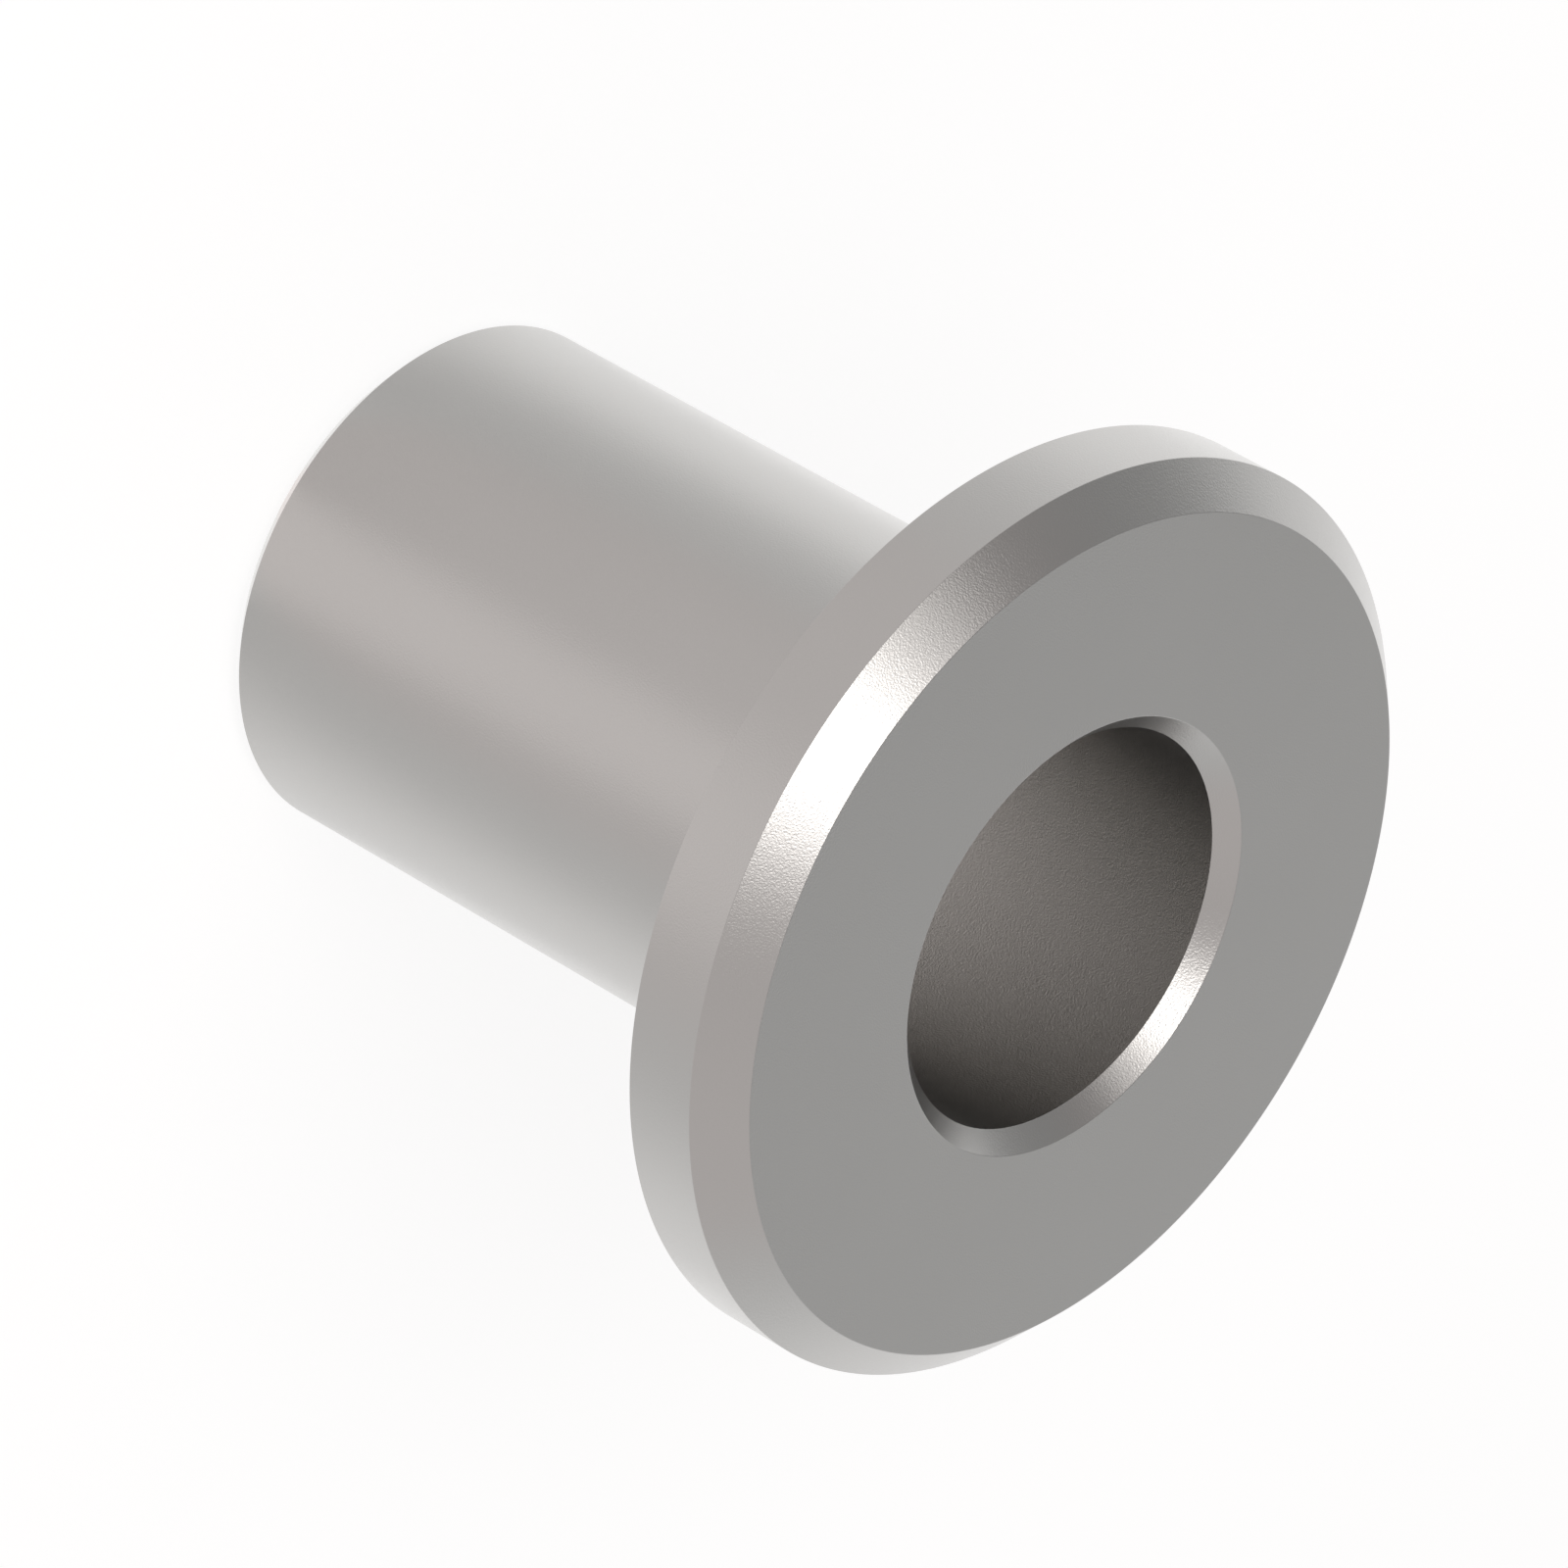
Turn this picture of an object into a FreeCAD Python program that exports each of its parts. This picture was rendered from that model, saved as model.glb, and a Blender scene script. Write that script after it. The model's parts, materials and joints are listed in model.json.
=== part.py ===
import FreeCAD, Part
import Sketcher
import os

# Flanged bushing: one piece turned from steel bar.
#
# A straight sleeve carries a round flange at its upper end, and a smooth bore runs
# through both. The flange's front edge is broken by a broad chamfer. The two mouths
# of the bore and the outside of the sleeve's free end have a narrow one, and the
# back edge of the flange is left sharp, so that it beds down all the way to its rim.
#
# Sizes are in millimetres. The bushing stands on the free end of its sleeve, with
# the flange up: the origin is the centre of that end, and +Z runs up the bore.

# Each size that can be set by itself: its name, its value, and what it measures.
SIZES = [
    ("bore_diameter", 10.5, "smooth bore, a clear hole for a 10 mm bolt or shaft"),
    ("sleeve_wall", 1.5, "from the bore to the outside of the sleeve"),
    ("sleeve_length", 19.5, "from the sleeve's free end to the back of the flange"),
    ("flange_lip", 5.25, "how far the flange stands out from the sleeve all round"),
    ("flange_thickness", 3.0, "from the back of the flange to its front face"),
    ("flange_edge_chamfer", 1.0, "45 degree chamfer on the flange's front edge"),
    ("bore_edge_chamfer", 0.5, "45 degree chamfer at each mouth of the bore"),
    ("sleeve_end_chamfer", 0.5, "45 degree lead-in chamfer outside the sleeve's free end"),
    ("corner_radius", 0.25, "left by the tool's nose where the sleeve meets the flange"),
]

SAME_PLACE = 1e-6


def make_sheet(doc):
    """Put the driving sizes in a sheet, one row each: name, value, meaning."""
    sheet = doc.addObject("Spreadsheet::Sheet", "Sizes")
    for row, (name, value, meaning) in enumerate(SIZES, start=1):
        sheet.set("A%d" % row, name)
        sheet.set("B%d" % row, str(value))
        sheet.set("C%d" % row, meaning)
        sheet.setAlias("B%d" % row, name)
    doc.recompute()
    return sheet


def derived_sizes(sheet):
    """The radii of the bore, sleeve and flange, and the overall length."""
    bore_radius = sheet.bore_diameter / 2
    sleeve_radius = bore_radius + sheet.sleeve_wall
    flange_radius = sleeve_radius + sheet.flange_lip
    overall_length = sheet.sleeve_length + sheet.flange_thickness
    return bore_radius, sleeve_radius, flange_radius, overall_length


def origin_feature(body, role):
    """One of the body's own origin planes or axes."""
    return next(item for item in body.Origin.OriginFeatures if item.Role == role)


def draw_half_section(body, sheet):
    """The bushing's half section right of its axis, with its corners still sharp.

    The sketch lies in the XZ plane, so across is the radius and up is the height.
    Its six corners run from the sleeve's free end, inside, round to the flange's
    front face and back down the bore.
    """
    bore_radius, sleeve_radius, flange_radius, overall_length = derived_sizes(sheet)
    corners = [
        (bore_radius, 0),
        (sleeve_radius, 0),
        (sleeve_radius, sheet.sleeve_length),
        (flange_radius, sheet.sleeve_length),
        (flange_radius, overall_length),
        (bore_radius, overall_length),
    ]

    sketch = body.newObject("Sketcher::SketchObject", "HalfSection")
    sketch.AttachmentSupport = [(origin_feature(body, "XZ_Plane"), "")]
    sketch.MapMode = "FlatFace"

    points = [FreeCAD.Vector(across, up, 0) for across, up in corners]
    ends = points[1:] + points[:1]
    lines = [sketch.addGeometry(Part.LineSegment(*pair)) for pair in zip(points, ends)]
    sleeve_end, sleeve_side, flange_back, flange_rim, flange_front, bore_side = lines

    start, end = 1, 2
    for line, following in zip(lines, lines[1:] + lines[:1]):
        sketch.addConstraint(Sketcher.Constraint("Coincident", line, end, following, start))
    for line in (sleeve_end, flange_back, flange_front):
        sketch.addConstraint(Sketcher.Constraint("Horizontal", line))
    for line in (sleeve_side, flange_rim, bore_side):
        sketch.addConstraint(Sketcher.Constraint("Vertical", line))

    across_axis, origin_point = -1, 1
    sketch.addConstraint(Sketcher.Constraint("PointOnObject", sleeve_end, start, across_axis))
    dimensions = [
        ("bore_radius", "DistanceX", (across_axis, origin_point, sleeve_end, start),
         bore_radius, "Sizes.bore_diameter / 2"),
        ("sleeve_wall", "DistanceX", (sleeve_end, start, sleeve_end, end),
         sheet.sleeve_wall, "Sizes.sleeve_wall"),
        ("sleeve_length", "DistanceY", (sleeve_side, start, sleeve_side, end),
         sheet.sleeve_length, "Sizes.sleeve_length"),
        ("flange_lip", "DistanceX", (flange_back, start, flange_back, end),
         sheet.flange_lip, "Sizes.flange_lip"),
        ("flange_thickness", "DistanceY", (flange_rim, start, flange_rim, end),
         sheet.flange_thickness, "Sizes.flange_thickness"),
    ]
    for name, kind, between, length, expression in dimensions:
        number = sketch.addConstraint(Sketcher.Constraint(kind, *between, length))
        sketch.renameConstraint(number, name)
        sketch.setExpression("Constraints." + name, expression)
    return sketch


def ring_edges(shape, radius, height):
    """Names of the round edges with this radius at this height."""
    names = []
    for number, edge in enumerate(shape.Edges, start=1):
        if not isinstance(edge.Curve, Part.Circle):
            continue
        same_radius = abs(edge.Curve.Radius - radius) < SAME_PLACE
        same_height = abs(edge.Curve.Center.z - height) < SAME_PLACE
        if same_radius and same_height:
            names.append("Edge%d" % number)
    return names


def dress_edges(body, kind, name, size_property, size_name, rings):
    """Add a chamfer or fillet on the rings given as (radius, height) pairs."""
    base = body.Tip
    edges = []
    for radius, height in rings:
        edges += ring_edges(base.Shape, radius, height)
    feature = body.newObject(kind, name)
    feature.Base = (base, edges)
    feature.setExpression(size_property, "Sizes." + size_name)
    body.Document.recompute()
    return feature


def make_bushing(doc, sheet):
    """Turn the half section about the axis, then round and chamfer its corners."""
    body = doc.addObject("PartDesign::Body", "FlangedBushing")
    body.Label = "flanged_bushing"
    body.Placement = FreeCAD.Placement()

    sketch = draw_half_section(body, sheet)
    turned = body.newObject("PartDesign::Revolution", "Turned")
    turned.Profile = sketch
    turned.ReferenceAxis = (sketch, ["V_Axis"])
    turned.Angle = 360
    doc.recompute()

    bore_radius, sleeve_radius, flange_radius, overall_length = derived_sizes(sheet)
    fillet = "PartDesign::Fillet"
    chamfer = "PartDesign::Chamfer"
    dress_edges(body, fillet, "NeckCorner", "Radius", "corner_radius",
                [(sleeve_radius, sheet.sleeve_length)])
    dress_edges(body, chamfer, "FlangeFrontEdge", "Size", "flange_edge_chamfer",
                [(flange_radius, overall_length)])
    dress_edges(body, chamfer, "BoreMouths", "Size", "bore_edge_chamfer",
                [(bore_radius, 0), (bore_radius, overall_length)])
    dress_edges(body, chamfer, "SleeveLeadIn", "Size", "sleeve_end_chamfer",
                [(sleeve_radius, 0)])
    return body


def check(doc, solids):
    """Stop before anything is written if a feature failed or a shape is no good."""
    for item in doc.Objects:
        if "Invalid" in item.State or "Error" in item.State:
            raise RuntimeError("%s could not be built" % item.Label)
    for item in solids:
        if item.Shape.isNull() or not item.Shape.isValid():
            raise RuntimeError("%s has no valid shape" % item.Label)


doc = FreeCAD.newDocument("FlangedBushing")
sheet = make_sheet(doc)
bushing = make_bushing(doc, sheet)
doc.recompute()
check(doc, [bushing])

os.makedirs("parts", exist_ok=True)
bushing.Shape.exportStep(os.path.join("parts", bushing.Label + ".step"))
print("%s: volume %.1f cubic mm" % (bushing.Label, bushing.Shape.Volume))
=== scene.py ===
import json
import math

import bpy
from mathutils import Matrix, Vector


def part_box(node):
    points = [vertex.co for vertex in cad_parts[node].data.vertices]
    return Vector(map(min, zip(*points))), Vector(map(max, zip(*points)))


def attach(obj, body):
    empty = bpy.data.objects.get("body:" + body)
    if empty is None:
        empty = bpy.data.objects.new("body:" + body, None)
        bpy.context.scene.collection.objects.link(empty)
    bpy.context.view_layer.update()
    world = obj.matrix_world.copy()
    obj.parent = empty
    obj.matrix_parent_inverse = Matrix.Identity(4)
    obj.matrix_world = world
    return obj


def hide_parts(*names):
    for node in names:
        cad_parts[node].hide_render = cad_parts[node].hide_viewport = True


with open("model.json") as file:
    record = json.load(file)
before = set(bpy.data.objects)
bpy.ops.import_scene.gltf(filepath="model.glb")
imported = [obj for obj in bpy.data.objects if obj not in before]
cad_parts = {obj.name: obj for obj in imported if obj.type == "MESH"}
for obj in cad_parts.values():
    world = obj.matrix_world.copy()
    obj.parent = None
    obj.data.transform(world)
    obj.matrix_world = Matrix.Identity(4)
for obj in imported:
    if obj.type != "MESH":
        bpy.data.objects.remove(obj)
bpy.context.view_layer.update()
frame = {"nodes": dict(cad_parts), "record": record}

# A flanged bushing, turned from steel bar, stands on the free end of its sleeve on
# white studio paper. Lengths are in metres, and MM turns millimetres into them.
MM = 0.001

# The bushing's sizes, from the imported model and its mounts. The flange's radius is the
# least that the box allows, so that the round mesh stays inside it.
NODE = "flanged_bushing"
box_low, box_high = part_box(NODE)
mounts = {mount["name"]: mount for mount in frame["record"]["mounts"]}
overall_length = box_high.z
flange_radius = min(box_high.x, box_high.y, -box_low.x, -box_low.y)
flange_back = mounts["flange_back"]["pos_m"][2]
bore_radius = mounts["bore"]["dims"]["r_mm"] * MM
bore_chamfer = (overall_length - mounts["bore"]["dims"]["length_mm"] * MM) / 2
sleeve_radius = mounts["sleeve"]["dims"]["r_mm"] * MM
sleeve_straight = mounts["sleeve"]["dims"]["length_mm"] * MM
sleeve_middle = mounts["sleeve"]["pos_m"][2]
sleeve_end_chamfer = sleeve_middle - sleeve_straight / 2
neck_radius = flange_back - sleeve_middle - sleeve_straight / 2


def widest_at(height):
    """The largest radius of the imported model's corners at this height."""
    tolerance = 0.001 * MM
    corners = [vertex.co for vertex in frame["nodes"][NODE].data.vertices]
    return max(corner.xy.length for corner in corners if abs(corner.z - height) < tolerance)


flange_chamfer = flange_radius - widest_at(overall_length)

# The mesh: how far apart its rings lie at most, how much an arc turns from one ring to
# the next, and how many spokes go round.
LONGEST_RUN = 1.5 * MM
ARC_STEP = math.radians(12)
SPOKES = 384

# A bright turned part is deburred, not polished, so its edges keep a very small round.
EDGE_BREAK = 0.03 * MM

# The photograph's camera. The line of sight makes VIEW_ANGLE with the bore, and the
# picture is rolled until the bore points down to the right. The flange's front face is
# centred on FACE_PIXEL of a 1600 pixel square picture, at FACE_DEPTH along the lens.
VIEW_ANGLE = math.radians(54.367)
ROLL = math.radians(119.481)
FACE_PIXEL = (1097.99, 956.50)
PICTURE = 1600
FACE_DEPTH = 310.906 * MM
FOCAL_PIXELS = 13300.2

# Light from the camera's side is slightly warm, in the room's light and as a painted warm
# tint in the paper's glow that the metal mirrors, and the rest of the studio is neutral.
WHITE = "#FFFFFF"
WARM_WHITE = "#FFF9F8"
LAMP_WHITE = "#FFFCFA"

# Painted light and shade in the paper's glow, which only the metal mirrors, as soft fans
# of painted light that add up.
# Each has the azimuth it points to, the cosines from it at which it starts and is full,
# its level at both, and how far in front of the bore's axis it opens. That is in radii
# of what mirrors the paper there, which is the sleeve close by and the flange further out.
# The wide fans are painted over the whole paper: painted shade on the camera's side and
# painted light brightest behind.
WIDE_PAINTED_FANS = [
    (180, -0.25, 0.55, 0.443, 0.728, 0.78),
    (-173, 0.88, 1.0, 0.0, 0.11, 0.5),
]
# The near ones are painted pools of light within a few centimetres: to the right and left
# of the camera, behind on the left, and close behind.
NEAR_PAINTED_FANS = [
    (21, 0.86, 1.0, 0.0, 0.17, 0.55),
    (-25, 0.8, 1.0, 0.0, 0.027, 0.55),
    (-132, 0.8, 1.0, 0.0, 0.1, 0.9),
    (180, 0.73, 0.82, 0.0, 0.155, 1.1),
]


def linear(code):
    """An sRGB hex colour as the linear RGBA that Blender's sockets take."""
    channels = [int(code[i:i + 2], 16) / 255 for i in (1, 3, 5)]
    return [c / 12.92 if c <= 0.04045 else ((c + 0.055) / 1.055) ** 2.4 for c in channels] + [1]


def add(tree, kind, inputs=(), **settings):
    """Add a node with its settings, and fill its inputs with values, sockets or nodes."""
    node = tree.nodes.new(kind)
    for name, value in settings.items():
        setattr(node, name, value)
    for name, value in dict(inputs).items():
        if isinstance(value, bpy.types.Node):
            value = next(socket for socket in value.outputs if socket.enabled)
        if isinstance(value, bpy.types.NodeSocket):
            tree.links.new(value, node.inputs[name])
        else:
            node.inputs[name].default_value = value
    return node


def new_material(name):
    """An empty node material."""
    material = bpy.data.materials.new(name)
    material.use_nodes = True
    material.node_tree.nodes.clear()
    return material


def half_section():
    """Corners of the turned outline as (radius, height, round), with the metal on the left."""
    return [
        (bore_radius + bore_chamfer, 0, EDGE_BREAK),
        (sleeve_radius - sleeve_end_chamfer, 0, EDGE_BREAK),
        (sleeve_radius, sleeve_end_chamfer, EDGE_BREAK),
        (sleeve_radius, flange_back, neck_radius),
        (flange_radius, flange_back, EDGE_BREAK),
        (flange_radius, overall_length - flange_chamfer, EDGE_BREAK),
        (flange_radius - flange_chamfer, overall_length, EDGE_BREAK),
        (bore_radius + bore_chamfer, overall_length, EDGE_BREAK),
        (bore_radius, overall_length - bore_chamfer, EDGE_BREAK),
        (bore_radius, bore_chamfer, EDGE_BREAK),
    ]


def corner_arc(before, corner, after, corner_round):
    """Points and outward normals of the arc that rounds one corner of an outline."""
    back = (before - corner).normalized()
    ahead = (after - corner).normalized()
    half_angle = back.angle(ahead) / 2
    centre = corner + (back + ahead).normalized() * corner_round / math.sin(half_angle)
    tangent = corner_round / math.tan(half_angle)
    first = corner + back * tangent - centre
    last = corner + ahead * tangent - centre
    turn = first.angle_signed(last)
    convex = Vector((-back.y, back.x)).dot(ahead) < 0
    steps = max(2, math.ceil(abs(turn) / ARC_STEP))
    arc = []
    for step in range(steps + 1):
        spoke = Matrix.Rotation(-turn * step / steps, 2) @ first
        outward = spoke.normalized() * (1 if convex else -1)
        arc.append((centre + spoke, outward))
    return arc


def rounded_outline(corners):
    """Points and outward normals round a closed outline whose corners are arcs.

    A long side gets points along it, so that no face of the turned mesh is a long sliver.
    """
    places = [Vector((radius, height)) for radius, height, _ in corners]
    arcs = []
    for i, (_, _, corner_round) in enumerate(corners):
        after = places[(i + 1) % len(places)]
        arcs.append(corner_arc(places[i - 1], places[i], after, corner_round))
    points = []
    for i, arc in enumerate(arcs):
        points += arc
        start, normal = arc[-1]
        stop = arcs[(i + 1) % len(arcs)][0][0]
        pieces = math.ceil((stop - start).length / LONGEST_RUN)
        points += [(start.lerp(stop, k / pieces), normal) for k in range(1, pieces)]
    return points


def make_bushing():
    """The half section turned about the bore's axis, with the outline's true normals."""
    outline = rounded_outline(half_section())
    count = len(outline)
    vertices = []
    normals = []
    faces = []
    for spoke in range(SPOKES):
        angle = 2 * math.pi * spoke / SPOKES
        cosine, sine = math.cos(angle), math.sin(angle)
        here, beside = spoke * count, (spoke + 1) % SPOKES * count
        for k, (point, normal) in enumerate(outline):
            vertices.append((point.x * cosine, point.x * sine, point.y))
            normals.append((normal.x * cosine, normal.x * sine, normal.y))
            ahead = (k + 1) % count
            faces.append((here + k, beside + k, beside + ahead, here + ahead))
    mesh = bpy.data.meshes.new("turned_bushing")
    mesh.from_pydata(vertices, [], faces)
    mesh.validate()
    mesh.shade_smooth()
    mesh.normals_split_custom_set_from_vertices(normals)
    mesh.materials.append(satin_turned_steel())
    bushing = bpy.data.objects.new("turned_bushing", mesh)
    bpy.context.scene.collection.objects.link(bushing)
    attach(bushing, "root")
    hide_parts(NODE)


def satin_turned_steel():
    """Bare steel, fine turned and then tumbled.

    Tumbling wears the turning marks away, so the eye sees an even pale grey satin with
    a faint warmth and no rings, and a fine grain where a highlight fades out. The pits
    that tumbling leaves are about 0.02 mm across, which is less than a pixel, so they
    are drawn at 0.05 mm.
    """
    patch = 4 * MM
    grain_width = 0.05 * MM
    grain_depth = 0.0055 * MM
    smoothest, roughest = 0.276, 0.29
    material = new_material("satin_turned_steel")
    tree = material.node_tree
    position = add(tree, "ShaderNodeTexCoord").outputs["Object"]

    tone = add(tree, "ShaderNodeTexNoise",
               {"Vector": position, "Scale": 1 / patch, "Detail": 3, "Roughness": 0.5})
    colour = add(tree, "ShaderNodeMix",
                 {"Factor": tone, "A": linear("#C6C5C3"), "B": linear("#C9C8C6")}, data_type="RGBA")
    polish = add(tree, "ShaderNodeMapRange",
                 {"Value": tone, "To Min": smoothest, "To Max": roughest})

    grain = add(tree, "ShaderNodeTexNoise",
                {"Vector": position, "Scale": 1 / grain_width, "Detail": 1, "Roughness": 0.5})
    relief = add(tree, "ShaderNodeBump", {"Height": grain, "Strength": 1, "Distance": grain_depth})

    steel = add(tree, "ShaderNodeBsdfPrincipled",
                {"Base Color": colour, "Metallic": 1, "Roughness": polish, "Normal": relief})
    add(tree, "ShaderNodeOutputMaterial", {"Surface": steel})
    return material


def bearing(azimuth, elevation=0):
    """A direction. Azimuth 0 is the camera's side, and 90 is to its right with +Z up."""
    turn, rise = math.radians(azimuth), math.radians(elevation)
    return Vector((math.sin(turn) * math.cos(rise), -math.cos(turn) * math.cos(rise),
                   math.sin(rise)))


def way_to(tree, spot, radius, opens):
    """The direction of a spot on the paper from where a fan of painted light opens."""
    line = add(tree, "ShaderNodeVectorMath", {0: (0, opens, 0), 1: radius, 2: spot},
               operation="MULTIPLY_ADD")
    return add(tree, "ShaderNodeVectorMath", {0: line}, operation="NORMALIZE")


def painted_fan_light(tree, spot, radius, painted_fans):
    """What these fans of painted light add up to at a spot on the paper's glow."""
    light = 0.0
    for azimuth, starts, full, at_start, at_full, opens in painted_fans:
        along = add(tree, "ShaderNodeVectorMath",
                    {0: way_to(tree, spot, radius, opens), 1: bearing(azimuth)},
                    operation="DOT_PRODUCT")
        fan = add(tree, "ShaderNodeMapRange",
                  {"Value": along, "From Min": starts, "From Max": full,
                   "To Min": at_start, "To Max": at_full}, interpolation_type="SMOOTHSTEP")
        light = add(tree, "ShaderNodeMath", {0: light, 1: fan}, operation="ADD")
    return light


def studio_paper():
    """White background paper that keeps the bushing's soft shadow.

    The paper itself is grey enough to take the shadow without clipping, and its glow
    makes it white. Only the lens and the metal see the glow, and it lights nothing else.
    To the lens it rises to pure white away from the bushing. The metal sees painted light
    and shade in the glow: fans of painted light, a painted warm tint on the camera's side,
    and painted plain white under the bushing's foot and bore, where the paper lies in shade.
    """
    paper_grey = "#A0A0A0"
    lens_near, lens_far, lens_glow, plain_white = 100 * MM, 500 * MM, 0.78, 1.0
    near_full, near_gone = 30 * MM, 90 * MM
    sleeve_sees, flange_sees = 28 * MM, 34 * MM
    warm_opens, warm_ends, white_starts = 0.9, -0.45, -0.2
    material = new_material("studio_paper")
    material.cycles.emission_sampling = "NONE"
    tree = material.node_tree
    spot = add(tree, "ShaderNodeTexCoord").outputs["Object"]
    out = add(tree, "ShaderNodeVectorMath", {0: spot}, operation="LENGTH")

    radius = add(tree, "ShaderNodeMapRange",
                 {"Value": out, "From Min": sleeve_sees, "From Max": flange_sees,
                  "To Min": sleeve_radius, "To Max": flange_radius},
                 interpolation_type="SMOOTHSTEP")
    nearby = add(tree, "ShaderNodeMapRange",
                 {"Value": out, "From Min": near_full, "From Max": near_gone,
                  "To Min": 1, "To Max": 0}, interpolation_type="SMOOTHSTEP")
    # Painted light and shade: the near painted fans fade out away from the bushing and add to the
    # wide ones.
    painted_fans = add(tree, "ShaderNodeMath",
               {0: nearby, 1: painted_fan_light(tree, spot, radius, NEAR_PAINTED_FANS),
                2: painted_fan_light(tree, spot, radius, WIDE_PAINTED_FANS)},
               operation="MULTIPLY_ADD")
    # Painted plain white under the bushing's foot and bore, where the paper lies in the bushing's
    # shade; the metal mirrors it in place of that shade, and the painted fans further out.
    past_foot = add(tree, "ShaderNodeMapRange",
                    {"Value": out, "From Min": sleeve_radius - sleeve_end_chamfer / 2,
                     "From Max": sleeve_radius}, interpolation_type="SMOOTHSTEP")
    painted_reflection = add(tree, "ShaderNodeMix", {"Factor": past_foot, "A": plain_white, "B": painted_fans})

    # A painted warm tint in the glow that the metal mirrors, on the camera's side and outside the
    # bore; elsewhere the painted glow stays white.
    behind = add(tree, "ShaderNodeVectorMath",
                 {0: way_to(tree, spot, radius, warm_opens), 1: bearing(180)},
                 operation="DOT_PRODUCT")
    cool = add(tree, "ShaderNodeMapRange",
               {"Value": behind, "From Min": warm_ends, "From Max": white_starts},
               interpolation_type="SMOOTHSTEP")
    past_bore = add(tree, "ShaderNodeMath", {0: out, 1: bore_radius + bore_chamfer},
                    operation="GREATER_THAN")
    share = add(tree, "ShaderNodeMath", {0: cool, 1: past_bore}, operation="MULTIPLY")
    tint = add(tree, "ShaderNodeMix",
               {"Factor": share, "A": linear(WARM_WHITE), "B": linear(WHITE)}, data_type="RGBA")

    rays = add(tree, "ShaderNodeLightPath").outputs
    by_metal = add(tree, "ShaderNodeMath",
                   {0: rays["Is Glossy Ray"], 1: rays["Is Transmission Ray"]}, operation="ADD")
    # Emission that only the metal mirrors, carrying the painted light, painted shade and painted
    # tint.
    in_metal = add(tree, "ShaderNodeEmission", {"Color": tint, "Strength": painted_reflection})
    lens_level = add(tree, "ShaderNodeMapRange",
                     {"Value": out, "From Min": lens_near, "From Max": lens_far,
                      "To Min": lens_glow, "To Max": plain_white}, interpolation_type="SMOOTHSTEP")
    by_lens = add(tree, "ShaderNodeMath", {0: rays["Is Camera Ray"], 1: lens_level},
                  operation="MULTIPLY")
    in_lens = add(tree, "ShaderNodeEmission", {"Color": linear(WHITE), "Strength": by_lens})
    glow = add(tree, "ShaderNodeMixShader", {0: by_metal, 1: in_lens, 2: in_metal})
    paper = add(tree, "ShaderNodeBsdfDiffuse", {"Color": linear(paper_grey)})
    both = add(tree, "ShaderNodeAddShader", {0: paper, 1: glow})
    add(tree, "ShaderNodeOutputMaterial", {"Surface": both})
    return material


def make_floor():
    """A wide round sheet of paper whose outer edge sweeps up to hide the horizon.

    A ring on the flat keeps the sweep's shading away from the bushing.
    """
    flat, sweep, sweep_steps, spokes = 1.4, 0.15, 8, 96
    section = [(flat - sweep, 0)]
    for step in range(sweep_steps + 1):
        angle = math.pi / 2 * step / sweep_steps
        section.append((flat + sweep * math.sin(angle), sweep * (1 - math.cos(angle))))
    vertices = [(0, 0, 0)]
    for radius, height in section:
        for spoke in range(spokes):
            angle = 2 * math.pi * spoke / spokes
            vertices.append((radius * math.cos(angle), radius * math.sin(angle), height))
    faces = []
    for spoke in range(spokes):
        beside = (spoke + 1) % spokes
        faces.append((0, 1 + spoke, 1 + beside))
        for ring in range(len(section) - 1):
            inner, outer = 1 + ring * spokes, 1 + (ring + 1) * spokes
            faces.append((inner + spoke, outer + spoke, outer + beside, inner + beside))
    mesh = bpy.data.meshes.new("studio_floor")
    mesh.from_pydata(vertices, [], faces)
    mesh.shade_smooth()
    mesh.materials.append(studio_paper())
    floor = bpy.data.objects.new("studio_floor", mesh)
    bpy.context.scene.collection.objects.link(floor)


def make_softbox(name, azimuth, elevation, distance, wide, tall, radiance):
    """A rectangular softbox aimed at the bushing's middle."""
    direction = bearing(azimuth, elevation)
    lamp = bpy.data.lights.new(name, "AREA")
    lamp.shape = "RECTANGLE"
    lamp.size, lamp.size_y = wide, tall
    lamp.energy = radiance * math.pi * wide * tall
    lamp.color = linear(LAMP_WHITE)[:3]
    softbox = bpy.data.objects.new(name, lamp)
    softbox.location = Vector((0, 0, overall_length / 2)) + direction * distance
    softbox.rotation_mode = "QUATERNION"
    softbox.rotation_quaternion = direction.to_track_quat("Z", "Y")
    bpy.context.scene.collection.objects.link(softbox)


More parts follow.
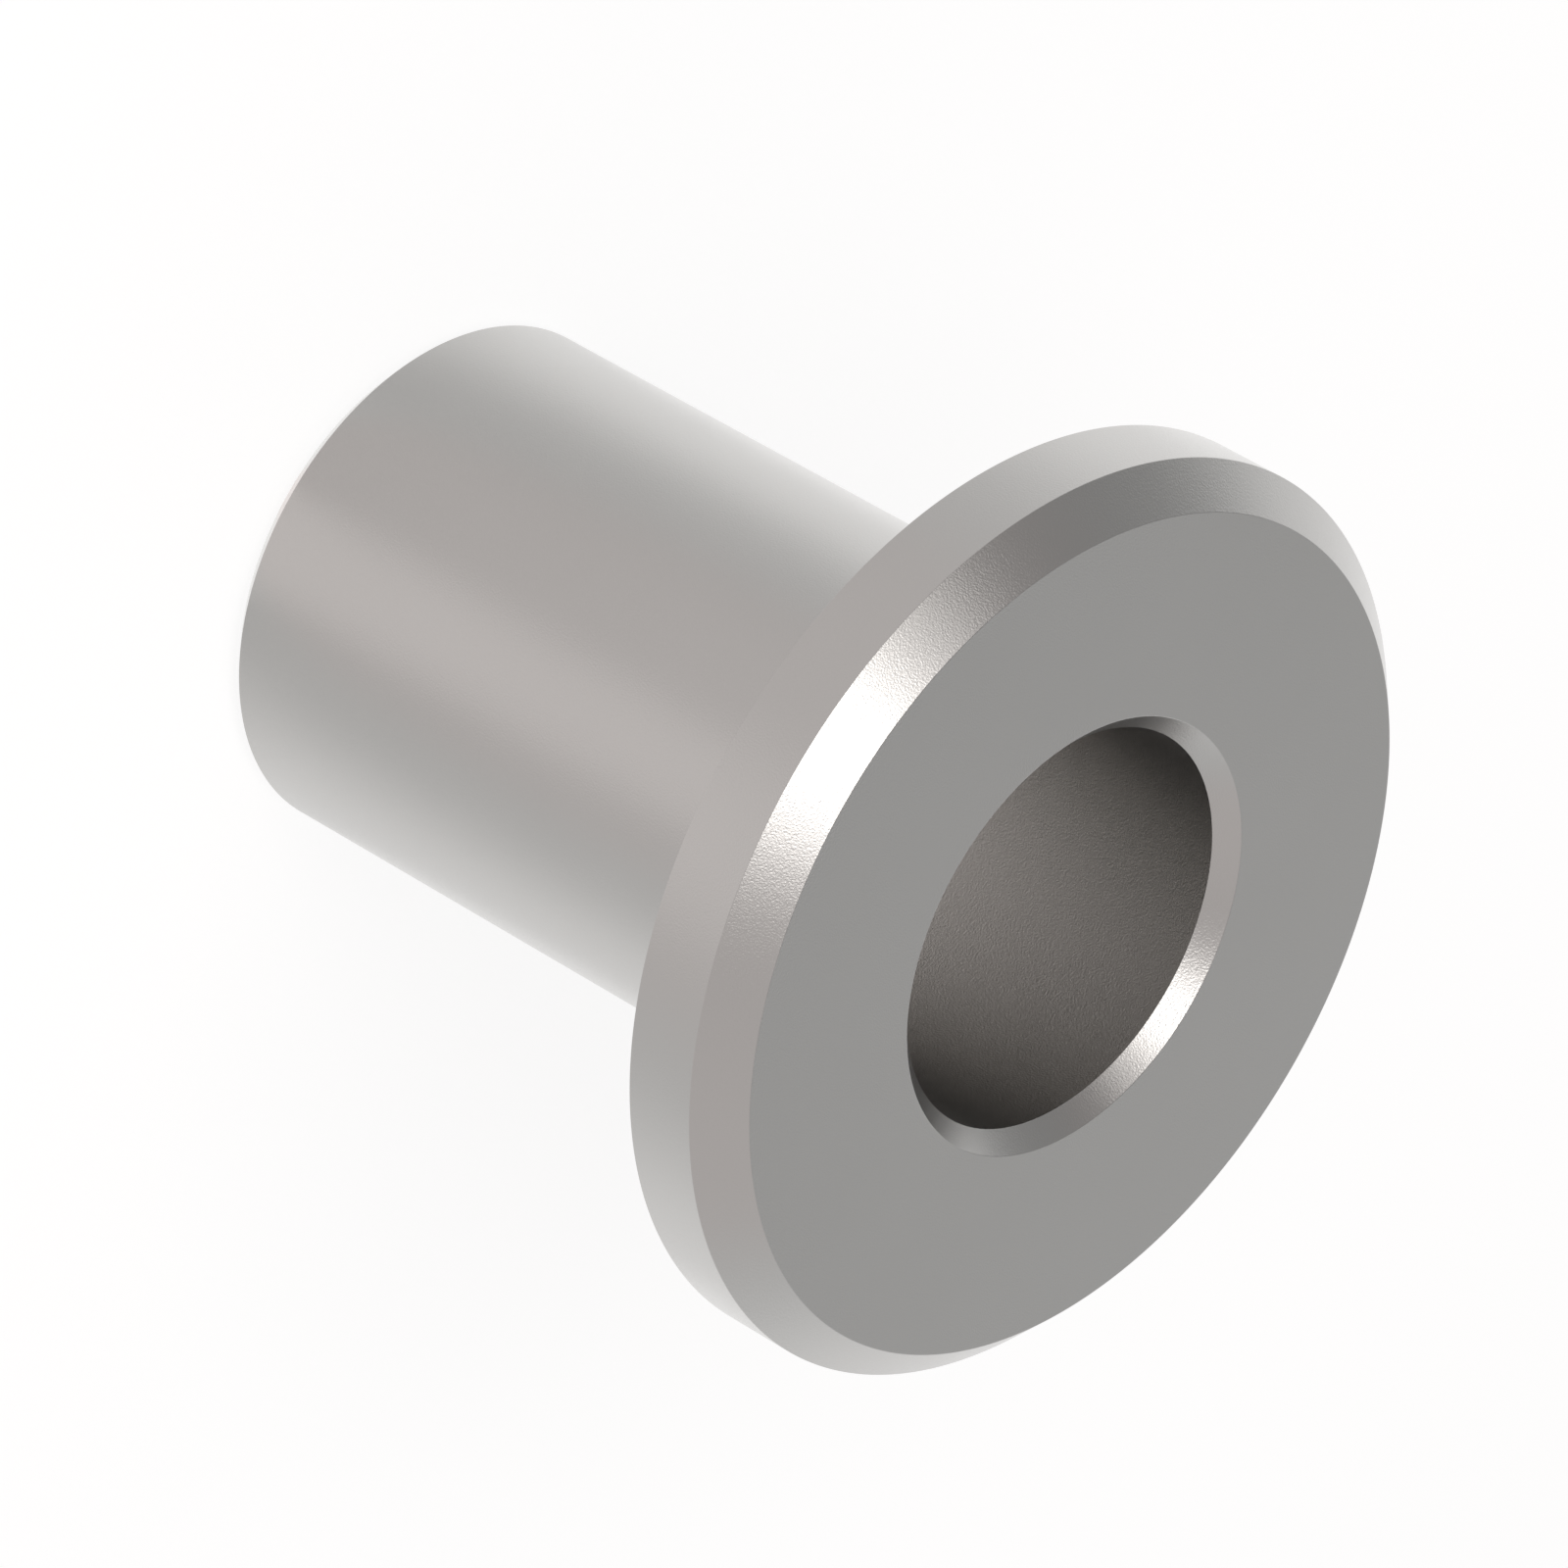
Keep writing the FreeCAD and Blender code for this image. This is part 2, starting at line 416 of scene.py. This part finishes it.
def make_room():
    """A plain grey studio: brighter to the right and behind, and warm by the camera.

    Each gradient runs between two cosines, or the direction's own X, Y or Z. The lens
    sees white there, as past the paper's edge in a low view. The light is so smooth that
    it isn't sampled as a lamp is, which only saves time.
    """
    left_wall, right_wall, backdrop_adds = 0.31, 0.65, 0.305
    horizon_right, horizon_left, plain_white = 0.66, 1.12, 1.0
    world = bpy.data.worlds.new("studio_room")
    world.cycles.sampling_method = "NONE"
    world.use_nodes = True
    tree = world.node_tree
    tree.nodes.clear()
    way = add(tree, "ShaderNodeTexCoord").outputs["Generated"]
    part = add(tree, "ShaderNodeSeparateXYZ", {"Vector": way}).outputs
    walls = add(tree, "ShaderNodeMapRange",
                {"Value": part["X"], "From Min": -0.3, "From Max": 0.84,
                 "To Min": left_wall, "To Max": right_wall}, interpolation_type="SMOOTHSTEP")
    backdrop = add(tree, "ShaderNodeMapRange",
                   {"Value": part["Y"], "From Min": 0.7, "From Max": 0.95,
                    "To Min": 0, "To Max": backdrop_adds}, interpolation_type="SMOOTHSTEP")
    above = add(tree, "ShaderNodeMath", {0: walls, 1: backdrop}, operation="ADD")
    leftward = add(tree, "ShaderNodeVectorMath", {0: way, 1: bearing(-150)},
                   operation="DOT_PRODUCT")
    horizon = add(tree, "ShaderNodeMapRange",
                  {"Value": leftward, "From Min": -0.3, "From Max": 1,
                   "To Min": horizon_right, "To Max": horizon_left},
                  interpolation_type="SMOOTHSTEP")
    height = add(tree, "ShaderNodeMapRange",
                 {"Value": part["Z"], "From Min": -0.05, "From Max": 0.35},
                 interpolation_type="SMOOTHSTEP")
    level = add(tree, "ShaderNodeMix", {"Factor": height, "A": horizon, "B": above})

    from_camera = add(tree, "ShaderNodeVectorMath", {0: way, 1: bearing(-161, -36)},
                      operation="DOT_PRODUCT")
    cool = add(tree, "ShaderNodeMapRange",
               {"Value": from_camera, "From Min": -0.18, "From Max": -0.02},
               interpolation_type="SMOOTHSTEP")
    tint = add(tree, "ShaderNodeMix",
               {"Factor": cool, "A": linear(WARM_WHITE), "B": linear(WHITE)}, data_type="RGBA")

    by_lens = add(tree, "ShaderNodeLightPath").outputs["Is Camera Ray"]
    colour = add(tree, "ShaderNodeMix", {"Factor": by_lens, "A": tint, "B": linear(WHITE)},
                 data_type="RGBA")
    strength = add(tree, "ShaderNodeMix", {"Factor": by_lens, "A": level, "B": plain_white})
    light = add(tree, "ShaderNodeBackground", {"Color": colour, "Strength": strength})
    add(tree, "ShaderNodeOutputWorld", {"Surface": light})
    bpy.context.scene.world = world


def make_camera():
    """The photograph's camera, placed from where it shows the flange's front face."""
    data = bpy.data.cameras.new("camera")
    data.sensor_width = 36
    data.lens = FOCAL_PIXELS / PICTURE * data.sensor_width
    data.clip_start, data.clip_end = 0.01, 10
    camera = bpy.data.objects.new("camera", data)
    turn = Matrix.Rotation(VIEW_ANGLE, 3, "X") @ Matrix.Rotation(ROLL, 3, "Z")
    right = (FACE_PIXEL[0] - PICTURE / 2) * FACE_DEPTH / FOCAL_PIXELS
    down = (FACE_PIXEL[1] - PICTURE / 2) * FACE_DEPTH / FOCAL_PIXELS
    face_centre = Vector((0, 0, overall_length))
    camera.location = face_centre - turn @ Vector((right, -down, -FACE_DEPTH))
    camera.rotation_mode = "QUATERNION"
    camera.rotation_quaternion = turn.to_quaternion()
    bpy.context.scene.collection.objects.link(camera)
    bpy.context.scene.camera = camera


make_bushing()
make_floor()
make_room()
# The key light, and the dimmer spill round it on the screen that it shines through.
make_softbox("key_softbox", azimuth=-11.6, elevation=46.5, distance=0.35,
             wide=0.178, tall=0.19, radiance=2.35)
make_softbox("key_spill", azimuth=-19, elevation=52, distance=0.36,
             wide=0.4, tall=0.18, radiance=0.66)
make_camera()
bpy.context.scene.view_settings.view_transform = "Standard"
